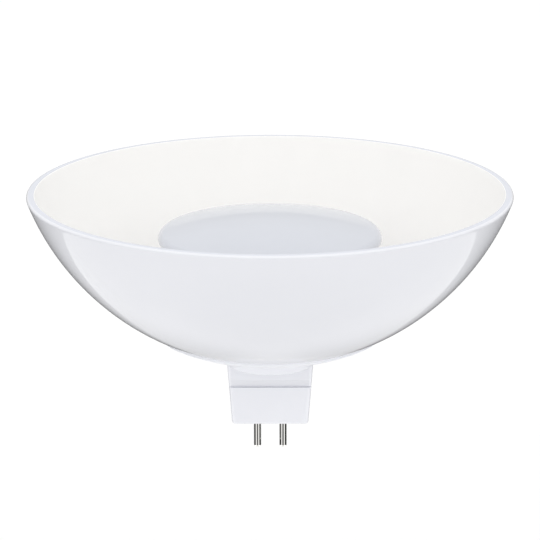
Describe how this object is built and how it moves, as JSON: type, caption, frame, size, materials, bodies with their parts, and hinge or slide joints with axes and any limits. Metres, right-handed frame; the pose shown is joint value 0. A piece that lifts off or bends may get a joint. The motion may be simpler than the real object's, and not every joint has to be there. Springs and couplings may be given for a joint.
{
  "type": "led spotlight bulb",
  "caption": "Low-voltage LED spotlight bulb with a pin base: a domed opal lamp head in a wide white bowl shade, held by its pins in a lamp holder.",
  "frame": {"origin": "midway between the two pins, on the seating face of the base", "axes": "+Z along the lamp's axis towards the bowl's mouth, +X along the pin spacing, +Y to the back"},
  "size_m": [0.098, 0.098, 0.0556],
  "materials": {
    "shade_white": "glossy outside, satin inside",
    "diffuser_opal": "opal, satin",
    "body_white": "semi-gloss moulded",
    "pin_nickel": "polished nickel plate",
    "spreader_aluminium": "drawn sheet",
    "pad_grey": "silicone pad",
    "board_white": "white solder mask",
    "led_phosphor": "phosphor in a white frame",
    "screw_steel": "zinc plate",
    "driver_green": "green solder mask",
    "chip_black": "moulded package",
    "ferrite_grey": "sintered ferrite",
    "can_sleeve": "shrunk sleeve",
    "lead_tinned": "tinned copper",
    "lead_red": "wire insulation",
    "lead_black": "wire insulation"
  },
  "bodies": {
    "root": {"bowl_shade": "shade_white", "lamp_housing": "body_white", "heat_spreader": "spreader_aluminium", "thermal_pad": "pad_grey", "led_board": "board_white", "led_packages": "led_phosphor", "board_screws": "screw_steel", "diffuser_dome": "diffuser_opal", "socket_housing": "body_white", "base_cap": "body_white", "contact_pin_left": "pin_nickel", "contact_pin_right": "pin_nickel", "driver_board": "driver_green", "bridge_rectifier": "chip_black", "power_inductor": "ferrite_grey", "driver_chip": "chip_black", "freewheel_diode": "chip_black", "smoothing_capacitor": "can_sleeve", "sense_resistor": "chip_black", "input_lead_left": "lead_tinned", "input_lead_right": "lead_tinned", "led_lead_negative": "lead_black", "led_lead_positive": "lead_red"}
  },
  "joints": []
}
